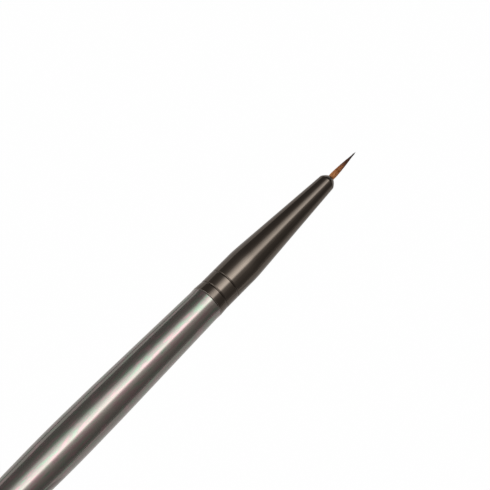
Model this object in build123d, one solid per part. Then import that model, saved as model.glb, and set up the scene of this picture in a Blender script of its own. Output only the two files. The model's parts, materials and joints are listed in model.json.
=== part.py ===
from build123d import *

import os
from math import atan, cos

# A fine detail brush with a short handle, lying on its side.
#
# It points along +X, its tip at the +X end, and lies on z = 0 on the belly of its handle. Its axis
# is BELLY_R above that. Lengths are in millimetres. Stations along the brush are counted from the
# mouth of the ferrule: behind(d) lies d towards the tail of the handle, ahead(d) lies d towards
# the tip of the tuft.
#
# Every piece but the binding thread is turned: its outline is drawn in x and radius, then spun.

# ---- driving dimensions ----

BRUSH_LENGTH = 175.0
TUFT_LENGTH = 6.6
FERRULE_LENGTH = 31.4

# The ferrule is a drawn metal tube, closed in at the nose and pressed into the handle by crimps.
FERRULE_R = 3.0
FERRULE_WALL = 0.35
NOSE_LENGTH = 0.82
NOSE_R = 1.475
NOSE_ROUND = 0.7
LIP_R = 0.66
MOUTH_R = 0.55
MOUTH_DEPTH = 0.4
TAPER_LENGTH = 21.9
TAPER_BLEND_R = 30.0
CRIMP_STATIONS = (26.9, 29.6)
CRIMP_WIDTH = 0.42
CRIMP_DEPTH = 0.13
RIM_R = 3.11
RIM_ROUND = 0.08

# The handle is turned wood under lacquer, which stands in a low bead at the shoulder.
SHOULDER_GAP = 0.05
SHOULDER_R = 3.1
SHOULDER_ROUND = 0.1
NECK_R = 3.06
NECK_OFFSET = 0.9
BELLY_R = 3.81
BELLY_OFFSET = 36.0
BELLY_BLEND_R = 120.0
TAIL_R = 2.0
TAIL_ROUND = 1.6
TENON_LENGTH = 8.6
TENON_CHAMFER = 0.4
GLUE_FILM = 0.06

# The hair passes through the mouth into the ferrule, where a thread and a resin plug hold it.
TUFT_FULLNESS = 1.6
TUFT_POINT_R = 0.04
ROOT_R = 0.6
ROOT_LENGTH = 9.5
ROOT_SWELL = 1.6
THREAD_R = 0.09
THREAD_PITCH = 0.2
THREAD_TURNS = 6
THREAD_START = 3.6
RESIN_START = 5.6
RESIN_END = 11.0
RESIN_MENISCUS = 0.5

# The tuft bends about two pivots on its axis, each a ball with a little room behind it.
HEEL_PIVOT = 0.1
TIP_PIVOT = 2.6
PIVOT_ROOM = 0.05

# ---- stations and outlines ----

MOUTH_X = BRUSH_LENGTH / 2 - TUFT_LENGTH
TAPER_SLOPE = (FERRULE_R - NOSE_R) / (TAPER_LENGTH - NOSE_LENGTH)
BORE_R = FERRULE_R - FERRULE_WALL
TENON_R = BORE_R - GLUE_FILM


def behind(distance, radius=0.0):
    return MOUTH_X - distance, radius


def ahead(distance, radius=0.0):
    return MOUTH_X + distance, radius


def lines(*points):
    """Straight edges from point to point."""
    return [Line(a, b) for a, b in zip(points, points[1:])]


def cap(pole, point):
    """An arc that leaves the axis square at the pole and ends at a point."""
    return TangentArc(pole, point, tangent=(0, 1))


def outline(front, back, *edges):
    """The face between the axis and a run of edges that meets the axis at front and back."""
    return make_face([Line(front, back), *edges])


def corner(face, point):
    """The corner of a face nearest to a point."""
    return face.vertices().sort_by_distance(Vector(*point))[0]


def rounded(face, point, radius):
    """The face with the corner at a point rounded off."""
    return fillet(corner(face, point), radius)


def spun(face):
    """The solid that an outline makes about the axis of the brush."""
    return Pos(0, 0, BELLY_R) * revolve(face, Axis.X, 360)


def crimped(start, end, radius):
    """Edges backwards from start to end along a cylinder, dented at each crimp.

    The press dents the wall, the glue and the wood alike, so all three use this line.
    """
    edges = []
    for station in CRIMP_STATIONS:
        front = behind(station - CRIMP_WIDTH / 2, radius)
        floor = behind(station, radius - CRIMP_DEPTH)
        back = behind(station + CRIMP_WIDTH / 2, radius)
        edges += [Line(start, front), ThreePointArc(front, floor, back)]
        start = back
    return edges + [Line(start, end)]


def bore_radius(distance):
    """The radius inside the tapered part of the ferrule."""
    return NOSE_R + TAPER_SLOPE * (distance - NOSE_LENGTH) - FERRULE_WALL


def tuft_radius(distance):
    """The radius of the tuft ahead of the mouth: full at first, then closing to a point."""
    return MOUTH_R * (1 - (distance / TUFT_LENGTH) ** TUFT_FULLNESS)


# ---- metal and wood ----


def ferrule():
    nose = behind(NOSE_LENGTH, NOSE_R)
    taper_end = behind(TAPER_LENGTH, FERRULE_R)
    bore_end = behind(TAPER_LENGTH, BORE_R)
    rim = behind(FERRULE_LENGTH, RIM_R)
    outside = [
        *lines(behind(0, MOUTH_R), behind(0, LIP_R), nose, taper_end),
        *crimped(taper_end, rim, FERRULE_R),
    ]
    inside = [
        *lines(
            behind(0, MOUTH_R),
            behind(MOUTH_DEPTH, MOUTH_R),
            behind(NOSE_LENGTH, NOSE_R - FERRULE_WALL),
            bore_end,
        ),
        *crimped(bore_end, behind(FERRULE_LENGTH, RIM_R - FERRULE_WALL), BORE_R),
    ]
    rim_edge = Line(outside[-1] @ 1, inside[-1] @ 1)
    face = make_face([*outside, rim_edge, *inside])
    face = rounded(face, nose, NOSE_ROUND)
    face = rounded(face, taper_end, TAPER_BLEND_R)
    face = rounded(face, bore_end, TAPER_BLEND_R)
    face = rounded(face, rim, RIM_ROUND)
    return spun(face)


def crest_radius():
    """The radius at which the handle's two slopes would meet if the belly weren't rounded."""
    front_slope = (BELLY_R - NECK_R) / (BELLY_OFFSET - NECK_OFFSET)
    tail_slope = (BELLY_R - TAIL_R) / (BRUSH_LENGTH - TUFT_LENGTH - FERRULE_LENGTH - BELLY_OFFSET)
    half_turn = (atan(front_slope) + atan(tail_slope)) / 2
    return BELLY_R + BELLY_BLEND_R * (1 / cos(half_turn) - 1)


def handle():
    shoulder_station = FERRULE_LENGTH + SHOULDER_GAP
    tail_station = BRUSH_LENGTH - TUFT_LENGTH
    front = behind(FERRULE_LENGTH - TENON_LENGTH)
    tenon_front = behind(FERRULE_LENGTH - TENON_LENGTH, TENON_R)
    tenon_back = behind(shoulder_station, TENON_R)
    shoulder = behind(shoulder_station, SHOULDER_R)
    neck = behind(shoulder_station + NECK_OFFSET, NECK_R)
    crest = behind(FERRULE_LENGTH + BELLY_OFFSET, crest_radius())
    tail = behind(tail_station, TAIL_R)
    back = behind(tail_station)
    face = outline(
        front,
        back,
        Line(front, tenon_front),
        *crimped(tenon_front, tenon_back, TENON_R),
        *lines(tenon_back, shoulder, neck, crest, tail, back),
    )
    face = chamfer(corner(face, tenon_front), TENON_CHAMFER)
    face = rounded(face, shoulder, SHOULDER_ROUND)
    face = rounded(face, crest, BELLY_BLEND_R)
    face = rounded(face, tail, TAIL_ROUND)
    return spun(face)


def tenon_adhesive():
    """The film of glue between the tenon and the ferrule, which also fills the flare at the rim."""
    front = FERRULE_LENGTH - TENON_LENGTH + TENON_CHAMFER
    outside = crimped(behind(front, BORE_R), behind(FERRULE_LENGTH, RIM_R - FERRULE_WALL), BORE_R)
    inside = crimped(behind(front, TENON_R), behind(FERRULE_LENGTH, TENON_R), TENON_R)
    ends = [
        Line(outside[0] @ 0, inside[0] @ 0),
        Line(outside[-1] @ 1, inside[-1] @ 1),
    ]
    return spun(make_face([*outside, *inside, *ends]))


# ---- inside the nose ----


def root_resin():
    """The plug cast round the root ends: open at the front, with a hollowed back."""
    front = behind(ROOT_LENGTH)
    back = behind(RESIN_END - RESIN_MENISCUS)
    wall_start = behind(RESIN_START, bore_radius(RESIN_START))
    wall_end = behind(RESIN_END, bore_radius(RESIN_END))
    socket = lines(front, behind(ROOT_LENGTH, ROOT_R), behind(RESIN_START, ROOT_R), wall_start)
    return spun(outline(front, back, *socket, Line(wall_start, wall_end), cap(back, wall_end)))


def hair_roots():
    """The bundle in the ferrule: as thick as the mouth at first, then swelling a little."""
    front = ahead(HEEL_PIVOT - MOUTH_R)
    back = behind(ROOT_LENGTH)
    sides = lines(
        front,
        ahead(HEEL_PIVOT - MOUTH_R, MOUTH_R),
        behind(ROOT_SWELL, ROOT_R),
        behind(ROOT_LENGTH, ROOT_R),
        back,
    )
    return spun(outline(front, back, *sides))


def binding_thread():
    """A thread wound round the roots and drawn tight."""
    x, _ = behind(THREAD_START)
    winding = Helix(
        pitch=THREAD_PITCH,
        height=THREAD_PITCH * THREAD_TURNS,
        radius=ROOT_R + THREAD_R,
        center=(x, 0, BELLY_R),
        direction=(-1, 0, 0),
    )
    return sweep(Plane(winding @ 0, z_dir=winding % 0) * Circle(THREAD_R), winding, is_frenet=True)


# ---- the hair that shows ----


def tuft_heel():
    """The lower tuft: a ball at its root, and a cone that stops short of the tip's ball."""
    ball_r = MOUTH_R - PIVOT_ROOM
    waist = TIP_PIVOT - tuft_radius(TIP_PIVOT) - PIVOT_ROOM
    root = ahead(HEEL_PIVOT - ball_r)
    shoulder = ahead(HEEL_PIVOT, ball_r)
    front = ahead(waist)
    cone = lines(shoulder, ahead(waist, tuft_radius(waist)), front)
    return spun(outline(front, root, cap(root, shoulder), *cone))


def tuft_tip():
    """The upper tuft: a ball at its root, then two cones that close to a fine point."""
    ball_r = tuft_radius(TIP_PIVOT)
    waist = (TIP_PIVOT + TUFT_LENGTH) / 2
    root = ahead(TIP_PIVOT - ball_r)
    shoulder = ahead(TIP_PIVOT, ball_r)
    point = ahead(TUFT_LENGTH - TUFT_POINT_R, TUFT_POINT_R)
    front = ahead(TUFT_LENGTH)
    cones = lines(shoulder, ahead(waist, tuft_radius(waist)), point)
    return spun(outline(front, root, cap(root, shoulder), *cones, cap(front, point)))


PIECES = (
    handle,
    tenon_adhesive,
    ferrule,
    root_resin,
    binding_thread,
    hair_roots,
    tuft_heel,
    tuft_tip,
)

os.makedirs("parts", exist_ok=True)
for piece in PIECES:
    export_step(piece(), f"parts/{piece.__name__}.step")
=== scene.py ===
import json
import math
import random

import bmesh
import bpy
from mathutils import Matrix, Vector


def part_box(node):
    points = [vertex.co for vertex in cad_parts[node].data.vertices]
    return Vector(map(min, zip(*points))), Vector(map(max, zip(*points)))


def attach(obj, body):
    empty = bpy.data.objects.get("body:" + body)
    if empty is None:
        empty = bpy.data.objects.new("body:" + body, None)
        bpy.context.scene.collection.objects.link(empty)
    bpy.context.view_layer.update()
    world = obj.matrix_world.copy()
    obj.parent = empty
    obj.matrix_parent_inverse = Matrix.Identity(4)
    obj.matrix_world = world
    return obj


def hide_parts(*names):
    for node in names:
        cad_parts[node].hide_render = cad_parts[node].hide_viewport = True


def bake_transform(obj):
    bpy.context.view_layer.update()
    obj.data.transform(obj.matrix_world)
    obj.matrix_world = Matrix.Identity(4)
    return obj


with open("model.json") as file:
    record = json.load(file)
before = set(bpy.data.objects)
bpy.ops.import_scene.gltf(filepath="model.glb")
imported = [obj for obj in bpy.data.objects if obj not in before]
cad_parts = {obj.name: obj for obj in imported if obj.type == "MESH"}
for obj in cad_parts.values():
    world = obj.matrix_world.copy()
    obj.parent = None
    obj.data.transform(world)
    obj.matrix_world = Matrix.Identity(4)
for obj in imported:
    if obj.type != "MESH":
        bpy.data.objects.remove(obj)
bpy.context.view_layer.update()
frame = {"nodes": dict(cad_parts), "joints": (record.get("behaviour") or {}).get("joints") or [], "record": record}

# Looks of a fine detail brush: a wooden handle turned and coated in pearl lacquer, a dark plated
# ferrule pressed onto it with two crimps, and a pointed tuft of separate hairs, bound and glued.
#
# The brush lies along X with its tip at the +X end. Lengths are in metres. A station is a distance
# back from the mouth of the ferrule, and "ahead" is a distance forward from it. The outline of a
# turned piece is a list of (station, radius) points.

MM = 0.001

# ---- places and sizes taken from the frame ----

FERRULE_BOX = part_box("ferrule")
HANDLE_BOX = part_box("handle")
PIVOTS = {joint["name"]: Vector(joint["pos_m"]) for joint in frame["joints"]}
MOUNTS = {mount["name"]: mount for mount in frame["record"]["mounts"]}

MOUTH_X = FERRULE_BOX[1].x
AXIS_Z = PIVOTS["heel_bend"].z
FERRULE_LENGTH = MOUTH_X - FERRULE_BOX[0].x
FERRULE_R = MOUNTS["ferrule_barrel"]["dims"]["r_mm"] * MM
TAIL = MOUTH_X - HANDLE_BOX[0].x
TENON_FRONT = MOUTH_X - HANDLE_BOX[1].x
BELLY_STATION = MOUTH_X - MOUNTS["grip"]["pos_m"][0]
BELLY_R = (HANDLE_BOX[1].z - HANDLE_BOX[0].z) / 2
ROOT_STATION = MOUTH_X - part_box("hair_roots")[0].x
TUFT_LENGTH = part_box("tuft_tip")[1].x - MOUTH_X

# ---- the ferrule ----

WALL = 0.35 * MM
LIP_R = 0.62 * MM
LIP_ROUND = 0.03 * MM
MOUTH_R = 0.55 * MM
MOUTH_DEPTH = 0.4 * MM
NOSE_STATION = 1.08 * MM
NOSE_R = 1.494 * MM
NOSE_RISE = 0.09 * MM
TAPER_STATION = 21.9 * MM
TAPER_BLEND_R = 30 * MM
CRIMP_STATIONS = (26.9 * MM, 29.6 * MM)
CRIMP_WIDTH = 0.33 * MM
CRIMP_DEPTH = 0.085 * MM
RIM_R = 3.11 * MM
RIM_ROUND = 0.08 * MM

# ---- the handle ----

TENON_R = 2.59 * MM
TENON_CHAMFER = 0.4 * MM
SHOULDER_GAP = 0.05 * MM
SHOULDER_R = 3.1 * MM
SHOULDER_ROUND = 0.1 * MM
NECK_R = 3.06 * MM
NECK_OFFSET = 0.9 * MM
FLANK_OFFSET = 24.5 * MM
FLANK_R = 3.66 * MM
FLANK_BLEND_R = 300 * MM
BELLY_BLEND_R = 300 * MM
BELLY_CREST = 0.044 * MM
TAIL_R = 2.0 * MM
TAIL_ROUND = 1.6 * MM

# ---- how finely turned pieces are cut ----

# A straight edge has an extra point GUARD from each end.
LATHE_STEPS = 192
ARC_STEPS = 16
ON_AXIS = 1e-7
GUARD = 0.04 * MM

# ---- the hair ----

# A hair's radius is a share of the tuft's radius there, so the bundle closes as one, and over the
# last share of its own length the hair thins to a point.
HAIRS = 96
HAIR_SIDES = 6
HAIR_STEPS = 20
HAIR_SHARE = 0.098
HAIR_POINT_R = 0.012 * MM
HAIR_POINT_SHARE = 0.125
SHORTEST_HAIR = 0.88
SHORTENING_POWER = 1.5
SEED = 7

# The tuft swells out of the mouth, closes down to TUFT_POINT_R, and over the last share of its
# length tapers off from there. It leans to the +Y side.
TUFT_R = 0.595 * MM
TUFT_SWELL = 0.3
TUFT_FULLNESS = 1.6
TUFT_POINT_R = 0.14 * MM
TUFT_POINT_SHARE = 0.09
TUFT_OFFSET = 0.03 * MM
TUFT_LEAN = 0.12 * MM
TUFT_SPLIT = 1.9 * MM


# ---- outlines of turned pieces ----


def corner(station, radius, rounding=0.0):
    """A corner of an outline, reached in a straight line and perhaps rounded off."""
    return {"at": Vector((station, radius)), "rounding": rounding, "rise": 0.0}


def bow(station, radius, rise):
    """A point of an outline reached on an arc, which rises that far left of the straight way."""
    return {"at": Vector((station, radius)), "rounding": 0.0, "rise": rise}


def arc(start, end, rise):
    """Points after start on the arc to end."""
    chord = end - start
    side = Vector((-chord.y, chord.x)).normalized()
    radius = (chord.length_squared / 4 + rise * rise) / (2 * rise)
    centre = start + chord / 2 + side * (rise - radius)
    turn = -4 * math.atan2(2 * rise, chord.length)
    turns = (Matrix.Rotation(turn * k / ARC_STEPS, 2) for k in range(1, ARC_STEPS + 1))
    return [centre + part_turn @ (start - centre) for part_turn in turns]


def straight(start, end):
    """Points after start on the line to end, with one close to each end to keep its shading flat."""
    length = (end - start).length
    near = min(GUARD, length / 4) / length
    return [start.lerp(end, near), start.lerp(end, 1 - near), end]


def rounded(before, at, after, radius):
    """Points of the arc that rounds off the corner between two straight edges."""
    back, on = (before - at).normalized(), (after - at).normalized()
    half = math.acos(back.dot(on)) / 2
    reach = radius / math.tan(half)
    start, end = at + back * reach, at + on * reach
    rise = radius * (1 - math.sin(half))
    turns_right = back.cross(on) < 0
    return [start] + arc(start, end, -rise if turns_right else rise)


def outline(items):
    """The points of an outline given as corners and bows."""
    points = [items[0]["at"]]
    for k, item in enumerate(items[1:], 1):
        if item["rise"]:
            points += arc(points[-1], item["at"], item["rise"])
        elif item["rounding"]:
            bend = rounded(items[k - 1]["at"], item["at"], items[k + 1]["at"], item["rounding"])
            points += straight(points[-1], bend[0]) + bend[1:]
        else:
            points += straight(points[-1], item["at"])
    return points


def lathe(name, points, closed=False):
    """A turned mesh from an outline, which starts and ends on the axis unless it is closed."""
    mesh = bmesh.new()
    rings = []
    for station, radius in points[:-1] if closed else points:
        centre = Vector((MOUTH_X - station, 0, AXIS_Z))
        if radius > ON_AXIS:
            rings.append(ring(mesh, centre, radius, LATHE_STEPS))
        else:
            rings.append([mesh.verts.new(centre)])
    for here, there in zip(rings, rings[1:] + rings[:1] * closed):
        join(mesh, here, there)
    bmesh.ops.recalc_face_normals(mesh, faces=mesh.faces)
    return finished(name, mesh)


def ring(mesh, centre, radius, sides):
    """A ring of vertices round a centre, square to X."""
    angles = (math.tau * k / sides for k in range(sides))
    return [mesh.verts.new(centre + radius * Vector((0, math.sin(a), math.cos(a)))) for a in angles]


def join(mesh, here, there):
    """Faces between two rings, either of which may be a single point."""
    count = max(len(here), len(there))
    for k in range(count):
        around = (k + 1) % count
        corners = [here[k % len(here)], here[around % len(here)]]
        corners += [there[around % len(there)], there[k % len(there)]]
        mesh.faces.new(list(dict.fromkeys(corners)))


def finished(name, mesh):
    """A smooth-shaded object in the scene from a bmesh."""
    data = bpy.data.meshes.new(name)
    mesh.to_mesh(data)
    mesh.free()
    data.shade_smooth()
    piece = bpy.data.objects.new(name, data)
    bpy.context.scene.collection.objects.link(piece)
    return piece


def dented(radius):
    """The two crimps pressed into a surface of that radius, from front to back."""
    for station in CRIMP_STATIONS:
        yield corner(station - CRIMP_WIDTH / 2, radius)
        yield bow(station + CRIMP_WIDTH / 2, radius, -CRIMP_DEPTH)


def dented_inside(radius):
    """The same two crimps seen from inside the ferrule, from back to front."""
    for station in reversed(CRIMP_STATIONS):
        yield corner(station + CRIMP_WIDTH / 2, radius)
        yield bow(station - CRIMP_WIDTH / 2, radius, CRIMP_DEPTH)


def ferrule():
    """The metal tube: a rolled nose, a long taper, a barrel with two crimps and a flared rim."""
    bore = FERRULE_R - WALL
    return lathe("ferrule_shell", outline([
        corner(0, LIP_R),
        bow(NOSE_STATION, NOSE_R, NOSE_RISE),
        corner(TAPER_STATION, FERRULE_R, TAPER_BLEND_R),
        *dented(FERRULE_R),
        corner(FERRULE_LENGTH, RIM_R, RIM_ROUND),
        corner(FERRULE_LENGTH, RIM_R - WALL),
        *dented_inside(bore),
        corner(TAPER_STATION, bore),
        corner(NOSE_STATION, NOSE_R - WALL),
        corner(MOUTH_DEPTH, MOUTH_R),
        corner(0, MOUTH_R),
        bow(0, LIP_R, LIP_ROUND),
    ]), closed=True)


def handle():
    """The turned handle: a tenon inside the ferrule, a shoulder, a long belly and a round tail."""
    shoulder = FERRULE_LENGTH + SHOULDER_GAP
    return lathe("handle_turned", outline([
        corner(TENON_FRONT, 0),
        corner(TENON_FRONT, TENON_R - TENON_CHAMFER),
        corner(TENON_FRONT + TENON_CHAMFER, TENON_R),
        *dented(TENON_R),
        corner(shoulder, TENON_R),
        corner(shoulder, SHOULDER_R, SHOULDER_ROUND),
        corner(shoulder + NECK_OFFSET, NECK_R),
        corner(shoulder + FLANK_OFFSET, FLANK_R, FLANK_BLEND_R),
        corner(BELLY_STATION, BELLY_R + BELLY_CREST, BELLY_BLEND_R),
        corner(TAIL, TAIL_R, TAIL_ROUND),
        corner(TAIL, 0),
    ]))


# ---- the tuft ----


def tuft_radius(ahead):
    """The tuft's radius ahead of the mouth: it swells a little, then closes to a point."""
    share = max(ahead, 0) / TUFT_LENGTH
    leaving = MOUTH_R + TUFT_SWELL * (ahead - MOUTH_DEPTH) * (ahead > MOUTH_DEPTH)
    point = TUFT_POINT_R * min(1, (1 - share) / TUFT_POINT_SHARE)
    return min(leaving, max(TUFT_R * (1 - share ** TUFT_FULLNESS), point))


def bundle():
    """Each hair: its place from the bundle's centre (0) to its edge (1), angle, length and tone."""
    dice = random.Random(SEED)
    golden = math.pi * (3 - math.sqrt(5))
    for k in range(HAIRS):
        share = math.sqrt((k + 0.5) / HAIRS)
        shortening = (1 - SHORTEST_HAIR) * share * dice.random() ** SHORTENING_POWER
        length = TUFT_LENGTH * (1 - shortening)
        yield share, golden * k, length, dice.random()


def hair_ring(mesh, share, angle, length, ahead):
    """One ring of a hair at a distance ahead of the mouth. The hair thins to a point at its end."""
    radius = tuft_radius(ahead)
    left = max(length - ahead, 0) / length
    thick = max(HAIR_SHARE * radius * min(1, left / HAIR_POINT_SHARE), HAIR_POINT_R)
    out = share * radius * (1 - HAIR_SHARE)
    lean = TUFT_OFFSET * (ahead > 0) + TUFT_LEAN * max(ahead, 0) / TUFT_LENGTH
    y = out * math.sin(angle) + lean
    z = AXIS_Z + out * math.cos(angle)
    return ring(mesh, Vector((MOUTH_X + ahead, y, z)), thick, HAIR_SIDES)


def hairs(name, start, end):
    """Every hair from start to end ahead of the mouth, as one mesh of closed tapered tubes."""
    mesh = bmesh.new()
    strand = mesh.verts.layers.float.new("strand")
    along = mesh.verts.layers.float.new("along")
    for share, angle, length, tone in bundle():
        stop = min(end, length)
        rings = []
        for k in range(HAIR_STEPS + 1):
            ahead = start + (stop - start) * k / HAIR_STEPS
            rings.append(hair_ring(mesh, share, angle, length, ahead))
            for point in rings[-1]:
                point[strand] = tone
                point[along] = ahead / TUFT_LENGTH
        for here, there in zip(rings, rings[1:]):
            join(mesh, here, there)
        mesh.faces.new(rings[0])
        mesh.faces.new(rings[-1][::-1])
    bmesh.ops.recalc_face_normals(mesh, faces=mesh.faces)
    return finished(name, mesh)


# ---- shader helpers ----


def node(tree, kind, *links, **settings):
    """A shader node with its settings, and with its first inputs linked or set."""
    made = tree.nodes.new("ShaderNode" + kind)
    for key, value in settings.items():
        setattr(made, key, value)
    for k, value in enumerate(links):
        feed(tree, made.inputs[k], value)
    return made


def feed(tree, socket, value):
    """Links an output to a socket, or sets the socket to a value. None leaves it as it is."""
    if isinstance(value, bpy.types.NodeSocket):
        tree.links.new(value, socket)
    elif value is not None:
        socket.default_value = value


def maths(tree, operation, *values):
    return node(tree, "Math", *values, operation=operation).outputs[0]


def product(tree, made, *factors):
    """A value times each of the factors."""
    for factor in factors:
        made = maths(tree, "MULTIPLY", made, factor)
    return made


def spread(tree, value, low, high, to_low, to_high, smooth=False):
    """A value carried from one range to another, and held at its ends."""
    kind = "SMOOTHSTEP" if smooth else "LINEAR"
    inputs = (value, low, high, to_low, to_high)
    return node(tree, "MapRange", *inputs, interpolation_type=kind).outputs[0]


def apart(tree, value, place):
    """How far a value is from a place, either way."""
    return maths(tree, "ABSOLUTE", maths(tree, "SUBTRACT", value, place))


def window(tree, value, edges):
    """1 between the two middle edges, 0 outside the outer two, and smooth in between."""
    rises = spread(tree, value, edges[0], edges[1], 0, 1, True)
    falls = spread(tree, value, edges[2], edges[3], 1, 0, True)
    return product(tree, rises, falls)


def ramp(tree, value, stops):
    """A colour ramp from (position, colour) stops. A new ramp already has two of them."""
    made = node(tree, "ValToRGB", value)
    elements = made.color_ramp.elements
    for k, (position, colour) in enumerate(stops):
        element = elements[k] if k < 2 else elements.new(1)
        element.position = position
        element.color = (*colour, 1)
    return made.outputs["Color"]


def greys(tree, value, stops):
    """A grey ramp from (position, level) stops."""
    return ramp(tree, value, [(position, (level,) * 3) for position, level in stops])


def coordinates(tree):
    """Places on the piece, in metres."""
    return node(tree, "TexCoord").outputs["Object"]


def xyz(tree, place):
    """The outputs X, Y and Z of a place or direction."""
    return node(tree, "SeparateXYZ", place).outputs


def noise(tree, along, across, detail=2.0):
    """Noise whose patches are that long along the brush and that wide across it, in metres."""
    place = node(tree, "Mapping", coordinates(tree), None, None, (1 / along, 1 / across, 1 / across))
    return node(tree, "TexNoise", place.outputs[0], None, 1.0, detail).outputs["Fac"]


def mixed(tree, share, first, second):
    """A colour part of the way from the first to the second."""
    made = tree.nodes.new("ShaderNodeMix")
    made.data_type = "RGBA"
    feed(tree, made.inputs["Factor"], share)
    for socket, value in zip([s for s in made.inputs if s.type == "RGBA"], (first, second)):
        feed(tree, socket, (*value, 1) if isinstance(value, tuple) else value)
    return next(s for s in made.outputs if s.type == "RGBA")


def material(name, **values):
    """A material with one principled shader, its node tree, and the shader's sockets by name."""
    made = bpy.data.materials.new(name)
    made.use_nodes = True
    tree = made.node_tree
    shader = tree.nodes["Principled BSDF"]
    for key, value in values.items():
        feed(tree, shader.inputs[key.replace("_", " ").title()], value)
    return made, tree, shader.inputs


def dress(piece, made):
    """Gives a piece that material and no other."""
    piece.data.materials.clear()
    piece.data.materials.append(made)


# ---- materials ----

# A colour pair is the two ends that a pattern runs between.
LACQUER = ((0.209, 0.2, 0.182), (0.25, 0.239, 0.218))
# Painted highlight: a brighter lacquer colour along a line on the -Y side.
LACQUER_HIGHLIGHT = (0.335, 0.303, 0.272)
LACQUER_ROSE = (0.36, 0.225, 0.245)
LACQUER_GREEN = (0.185, 0.3, 0.215)
PLATING = ((0.125, 0.106, 0.09), (0.146, 0.124, 0.104))
PLATING_CLOUDED = (0.12, 0.105, 0.09)
# Painted shade: the plating is darker in the bottom of each crimp.
PLATING_CRIMP_SHADE = (0.085, 0.07, 0.058)
# Painted glint: the plating is brighter on the rim's rounded edge.
PLATING_GLINT = (0.42, 0.38, 0.34)
HAIR_STOPS = (
    (0.05, (0.58, 0.24, 0.078)), (0.32, (0.42, 0.15, 0.05)),
    (0.55, (0.13, 0.046, 0.02)), (0.8, (0.028, 0.013, 0.008)),
)
HAIR_DARK = (0.05, 0.022, 0.012)
GLUE = ((0.5, 0.42, 0.28), (0.66, 0.58, 0.42))
RESIN = ((0.3, 0.16, 0.05), (0.45, 0.27, 0.1))
THREAD = ((0.5, 0.44, 0.33), (0.78, 0.72, 0.6))

# Noise lies mostly between these two values.
NOISE_LOW, NOISE_HIGH = 0.3, 0.7

# A painted highlight: the lacquer's colour is brighter along a line on the -Y side, which widens the highlight
# there.
HIGHLIGHT_SIDE = -1.15 * MM
HIGHLIGHT_CORE = 0.3 * MM
HIGHLIGHT_EDGE = 1.2 * MM

# A high hue turns the lacquer to rose and a low hue to green, each by no more than that share.
# Along the crest, where the highlight falls, the hue leans to rose on the -Y side and to green on the +Y side: a
# painted sheen tint.
ROSE_HUES = (0.5, 0.66)
ROSE_SHARE = 0.66
GREEN_HUES = (0.46, 0.3)
GREEN_SHARE = 0.6
CREST_CORE = 0.8 * MM
CREST_EDGE = 1.4 * MM
SHEEN_SIDES = (-0.6 * MM, 0.8 * MM)
SHEEN_LEANS = (0.07, -0.08)


def pearl_lacquer():
    """Grey pearl lacquer with streaks of flake, a painted highlight along a line on the -Y side, faint green and
    rose patches, and a painted sheen tint along the crest.
    """
    made, tree, sockets = material(
        "pearl_lacquer", metallic=1.0, coat_weight=1.0, coat_roughness=0.42)
    streak = spread(tree, noise(tree, 6 * MM, 0.25 * MM, 3), NOISE_LOW, NOISE_HIGH, 0, 1)
    y = xyz(tree, coordinates(tree))["Y"]
    crest = spread(tree, maths(tree, "ABSOLUTE", y), CREST_CORE, CREST_EDGE, 1, 0)
    # A painted sheen tint: rose on the -Y side of the crest, green on the +Y side.
    lean = spread(tree, y, *SHEEN_SIDES, *SHEEN_LEANS)
    patches = noise(tree, 2.4 * MM, 0.5 * MM, 2)
    hue = maths(tree, "ADD", patches, product(tree, crest, lean))
    # A painted highlight brightens the lacquer along a line on the -Y side.
    highlight_band = spread(tree, apart(tree, y, HIGHLIGHT_SIDE), HIGHLIGHT_CORE, HIGHLIGHT_EDGE, 1, 0)
    rose = spread(tree, hue, *ROSE_HUES, 0, ROSE_SHARE, True)
    green = spread(tree, hue, *GREEN_HUES, 0, GREEN_SHARE, True)
    colour = mixed(tree, highlight_band, mixed(tree, streak, *LACQUER), LACQUER_HIGHLIGHT)
    colour = mixed(tree, rose, colour, LACQUER_ROSE)
    colour = mixed(tree, green, colour, LACQUER_GREEN)
    feed(tree, sockets["Base Color"], colour)
    feed(tree, sockets["Roughness"], spread(tree, streak, 0, 1, 0.08, 0.12))
    return made


def crimp_shade(tree):
    """1 in the bottom of each crimp's groove, where painted shade darkens the plating, and 0 at its edges."""
    x = xyz(tree, coordinates(tree))["X"]
    away = [apart(tree, x, MOUTH_X - station) for station in CRIMP_STATIONS]
    nearest = maths(tree, "MINIMUM", *away)
    return spread(tree, nearest, CRIMP_WIDTH * 0.1, CRIMP_WIDTH * 0.4, 1, 0)


def rim_glint(tree):
    """1 on the rounded edge of the rim, where a painted glint brightens the plating, and 0 elsewhere."""
    x = xyz(tree, coordinates(tree))["X"]
    rim_x = MOUTH_X - FERRULE_LENGTH
    return spread(tree, x, rim_x + RIM_ROUND, rim_x + RIM_ROUND * 0.4, 0, 1)


def gunmetal():
    """Dark nickel plating with faint draw lines, painted shade in the bottom of the crimps and a painted glint on
    the rim's rounded edge.
    """
    made, tree, sockets = material("gunmetal", metallic=1.0)
    lines = spread(tree, noise(tree, 8 * MM, 0.12 * MM, 3), NOISE_LOW, NOISE_HIGH, 0, 1)
    bloom = spread(tree, noise(tree, 3 * MM, 1.2 * MM, 2), 0.4, 0.8, 0, 0.25)
    colour = mixed(tree, bloom, mixed(tree, lines, *PLATING), PLATING_CLOUDED)
    # Painted shade darkens the bottom of each crimp.
    colour = mixed(tree, crimp_shade(tree), colour, PLATING_CRIMP_SHADE)
    # A painted glint brightens the rim's rounded edge.
    colour = mixed(tree, rim_glint(tree), colour, PLATING_GLINT)
    feed(tree, sockets["Base Color"], colour)
    feed(tree, sockets["Roughness"], spread(tree, lines, 0, 1, 0.1, 0.15))
    return made


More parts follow.
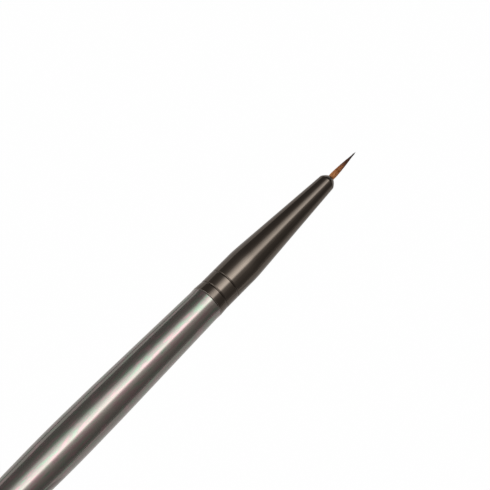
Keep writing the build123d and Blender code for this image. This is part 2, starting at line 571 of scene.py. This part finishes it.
def hair():
    """Sable hair: orange brown at the ferrule, through dark brown, to a nearly black tip.

    Each strand's own number moves its change of colour along, and its fraction after a
    multiplication darkens the strand as if by a second number.
    """
    made, tree, sockets = material("hair", roughness=0.42)
    feed(tree, sockets["Specular IOR Level"], 0.35)
    strand = node(tree, "Attribute", attribute_name="strand").outputs["Fac"]
    along = node(tree, "Attribute", attribute_name="along").outputs["Fac"]
    shifted = maths(tree, "ADD", along, spread(tree, strand, 0, 1, -0.07, 0.07))
    second = maths(tree, "FRACT", product(tree, strand, 7.31))
    darker = spread(tree, second, 0, 1, 0, 0.28)
    colour = mixed(tree, darker, ramp(tree, shifted, HAIR_STOPS), HAIR_DARK)
    feed(tree, sockets["Base Color"], colour)
    return made


def cured(name, colours, patch, roughness):
    """Set resin or glue with cloudy patches of that size."""
    made, tree, sockets = material(name, roughness=roughness)
    cloud = spread(tree, noise(tree, patch, patch, 3), NOISE_LOW, NOISE_HIGH, 0, 1)
    feed(tree, sockets["Base Color"], mixed(tree, cloud, *colours))
    return made


def waxed_thread():
    made, tree, sockets = material("waxed_thread", roughness=0.6)
    fibre = noise(tree, 0.05 * MM, 0.3 * MM, 3)
    feed(tree, sockets["Base Color"], mixed(tree, fibre, *THREAD))
    return made


# ---- the camera ----

# The camera stands above the brush, leaning TILT towards its tail and SIDE_TILT to its -Y side.
# The middle of the picture is AIM_STATION behind the mouth and AIM_SIDE to the +Y side.
LENS = 309.5
SENSOR = 36
DISTANCE = 700 * MM
TILT = math.radians(21.5)
SIDE_TILT = math.radians(2)
BRUSH_ANGLE = math.radians(45)
AIM_STATION = 19.45 * MM
AIM_SIDE = 2.25 * MM


def studio_camera():
    """Looks down on the brush from over its tail, turned so that the brush points up and right."""
    along = Vector((1, 0, 0))
    side = -math.cos(TILT) * math.sin(SIDE_TILT)
    view = Vector((-math.sin(TILT), side, math.cos(TILT) * math.cos(SIDE_TILT)))
    across = view.cross(along).normalized()
    shown = across.cross(view)
    up = shown * math.sin(BRUSH_ANGLE) + across * math.cos(BRUSH_ANGLE)
    right = up.cross(view)
    aim = Vector((MOUTH_X - AIM_STATION, 0, AXIS_Z)) + across * AIM_SIDE
    data = bpy.data.cameras.new("camera")
    data.lens, data.sensor_width = LENS, SENSOR
    data.clip_start = 10 * MM
    camera = bpy.data.objects.new("camera", data)
    turn = Matrix((right, up, view)).transposed().to_4x4()
    camera.matrix_world = Matrix.Translation(aim + view * DISTANCE) @ turn
    bpy.context.scene.collection.objects.link(camera)
    bpy.context.scene.camera = camera


# ---- the light ----

# The light depends on its direction: on the angle round the brush's axis, which is 0 straight up
# and grows to the -Y side, and on the direction's X, from 1 past the tip to -1 past the tail.
#
# A soft strip hangs over the brush. It is bright ahead, dim behind, and narrower far ahead. Its
# angles are in degrees.
STRIP_LEVEL = 3.4
STRIP_ROUND = (
    (-70, 0.0), (-50, 0.025), (-38, 0.085), (-8, 0.83), (-2, 1.0), (7, 1.0),
    (16, 0.24), (23, 0.12), (42, 0.025), (70, 0.0), (84, 0.0), (93, 0.07),
)
STRIP_ALONG = (
    (-0.95, 0.1), (-0.6, 0.45), (-0.3, 0.4), (-0.1, 0.0), (0.0, 0.0), (0.26, 1.0), (0.37, 1.0),
    (0.5, 0.7), (0.72, 0.1),
)
STRIP_NARROWS = (0.42, 0.52)
STRIP_NARROWING = 1.15

# The room gives a dim light from everywhere, and less of it far ahead. A window lights the +Y side
# from behind: the four edges of its soft patch are given in X and in radians.
ROOM_LEVEL = 0.19
ROOM_ALONG = ((0.37, 1.0), (0.5, 0.82), (0.75, 0.5))
WINDOW_LEVEL = 1.1
WINDOW_ALONG = (-0.9, -0.75, -0.4, -0.2)
WINDOW_ROUND = (-1.5, -1.3, -0.3, -0.1)

# Dim light is warmer than bright light.
WARM = (1, 0.93, 0.88)
WHITE = (1, 0.99, 0.975)

# The camera sees this pale grey on the floor and beyond it.
BACKDROP = 0.995


def studio_world():
    """Light by direction: the strip, the room and the window, behind a plain backdrop."""
    world = bpy.data.worlds.new("studio")
    bpy.context.scene.world = world
    world.use_nodes = True
    tree = world.node_tree
    tree.nodes.clear()
    direction = xyz(tree, node(tree, "TexCoord").outputs["Generated"])
    x = direction["X"]
    angle = maths(tree, "ARCTAN2", product(tree, direction["Y"], -1), direction["Z"])
    level = product(tree, strip_light(tree, x, angle), STRIP_LEVEL)
    level = maths(tree, "ADD", level, product(tree, greys(tree, x, ROOM_ALONG), ROOM_LEVEL))
    behind, beside = window(tree, x, WINDOW_ALONG), window(tree, angle, WINDOW_ROUND)
    level = maths(tree, "ADD", level, product(tree, behind, beside, WINDOW_LEVEL))
    tint = mixed(tree, spread(tree, level, 0.1, 1, 0, 1), WARM, WHITE)
    light = node(tree, "Background", tint, level).outputs[0]
    backdrop = node(tree, "Background", (BACKDROP,) * 3 + (1,), 1.0).outputs[0]
    seen = node(tree, "LightPath").outputs["Is Camera Ray"]
    node(tree, "OutputWorld", node(tree, "MixShader", seen, light, backdrop).outputs[0])


def strip_light(tree, x, angle):
    """The strip's light by direction, at most 1."""
    narrowed = product(tree, angle, spread(tree, x, *STRIP_NARROWS, 1, STRIP_NARROWING))
    turn = spread(tree, narrowed, -math.pi, math.pi, 0, 1)
    forward = spread(tree, x, -1, 1, 0, 1)
    around = greys(tree, turn, [((degrees + 180) / 360, level) for degrees, level in STRIP_ROUND])
    along = greys(tree, forward, [((way + 1) / 2, level) for way, level in STRIP_ALONG])
    return product(tree, around, along)


# ---- the floor ----

# The camera sees a plain pale floor. The floor glows, and reflections see its glow as a painted pool of light
# round the brush that gets brighter to the +Y side, with an uneven edge and, on the +Y side, one painted line of
# shadow.
FLOOR_SIZE = 3
FLOOR_REFLECTED = 0.62
FLOOR_SLOPE = 0.1
FLOOR_FAR = 0.24
FLOOR_WARM = (1, 0.96, 0.93)
POOL_AHEAD = 130 * MM
POOL_SIDE = 88 * MM
POOL_FADE = 12 * MM
RAGGED = 74 * MM
RAGGED_ALONG = 7 * MM
RAGGED_ACROSS = 400 * MM
SHADOW_SIDE = 14.2 * MM
SHADOW_WIDTH = 2.7 * MM
SHADOW_DEPTH = 0.95
SHADOW_ENDS = (52 * MM, 60 * MM)


def studio_floor():
    """A pale floor that glows, which reflections see as a painted pool of light crossed by a painted shadow."""
    mesh = bmesh.new()
    bmesh.ops.create_grid(mesh, x_segments=1, y_segments=1, size=FLOOR_SIZE)
    floor = finished("floor", mesh)
    made = bpy.data.materials.new("pale_floor")
    made.use_nodes = True
    tree = made.node_tree
    tree.nodes.clear()
    place = xyz(tree, coordinates(tree))
    # The glow that reflections see holds a painted pool of light and a painted shadow line.
    reflected = product(tree, painted_floor_pool(tree, place), painted_floor_shadow(tree, place))
    seen = node(tree, "LightPath").outputs["Is Camera Ray"]
    level = spread(tree, seen, 0, 1, reflected, BACKDROP)
    tint = mixed(tree, seen, FLOOR_WARM, (1, 1, 1))
    node(tree, "OutputMaterial", node(tree, "Emission", tint, level).outputs[0])
    dress(floor, made)


def painted_floor_pool(tree, place):
    """The pool's light, which fades across its edge ahead of the brush and on its -Y side."""
    edge = spread(tree, noise(tree, RAGGED_ALONG, RAGGED_ACROSS, 1), 0.35, 0.65, -RAGGED, RAGGED)
    ahead = maths(tree, "SUBTRACT", maths(tree, "ADD", place["X"], place["Y"]), POOL_AHEAD)
    aside = maths(tree, "SUBTRACT", edge, maths(tree, "ADD", place["Y"], POOL_SIDE))
    inside = spread(tree, maths(tree, "MAXIMUM", ahead, aside), -POOL_FADE, POOL_FADE, 1, FLOOR_FAR)
    dim, bright = FLOOR_REFLECTED * (1 - FLOOR_SLOPE), FLOOR_REFLECTED * (1 + FLOOR_SLOPE)
    return product(tree, inside, spread(tree, place["Y"], -POOL_SIDE, POOL_SIDE, dim, bright))


def painted_floor_shadow(tree, place):
    """1 where the floor's glow is full, and nearly 0 on the painted line of shadow, which ends by the ferrule."""
    line = spread(tree, apart(tree, place["Y"], SHADOW_SIDE), 0, SHADOW_WIDTH, 1, 0, True)
    dark = product(tree, line, spread(tree, place["X"], *SHADOW_ENDS, SHADOW_DEPTH, 0))
    return maths(tree, "SUBTRACT", 1, dark)


# ---- the brush ----


def show_handle():
    turned = handle()
    dress(turned, pearl_lacquer())
    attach(turned, "brush")
    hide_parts("handle")


def show_ferrule():
    shell = ferrule()
    dress(shell, gunmetal())
    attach(shell, "brush")
    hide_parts("ferrule")


def show_tuft():
    """The hair in two pieces."""
    made = hair()
    lower = hairs("hair_lower", -ROOT_STATION, TUFT_SPLIT)
    upper = hairs("hair_upper", TUFT_SPLIT, TUFT_LENGTH)
    for piece in (lower, upper):
        dress(piece, made)
    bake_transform(lower)
    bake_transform(upper)
    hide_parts("hair_roots", "tuft_heel")
    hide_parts("tuft_tip")


def show_fixings():
    """The three fixings inside the ferrule keep their CAD shapes."""
    nodes = frame["nodes"]
    dress(nodes["tenon_adhesive"], cured("wood_glue", GLUE, 1.5 * MM, 0.5))
    dress(nodes["root_resin"], cured("root_resin", RESIN, 0.8 * MM, 0.12))
    dress(nodes["binding_thread"], waxed_thread())


show_handle()
show_ferrule()
show_tuft()
show_fixings()
studio_camera()
studio_world()
studio_floor()
bpy.context.scene.view_settings.view_transform = "Standard"
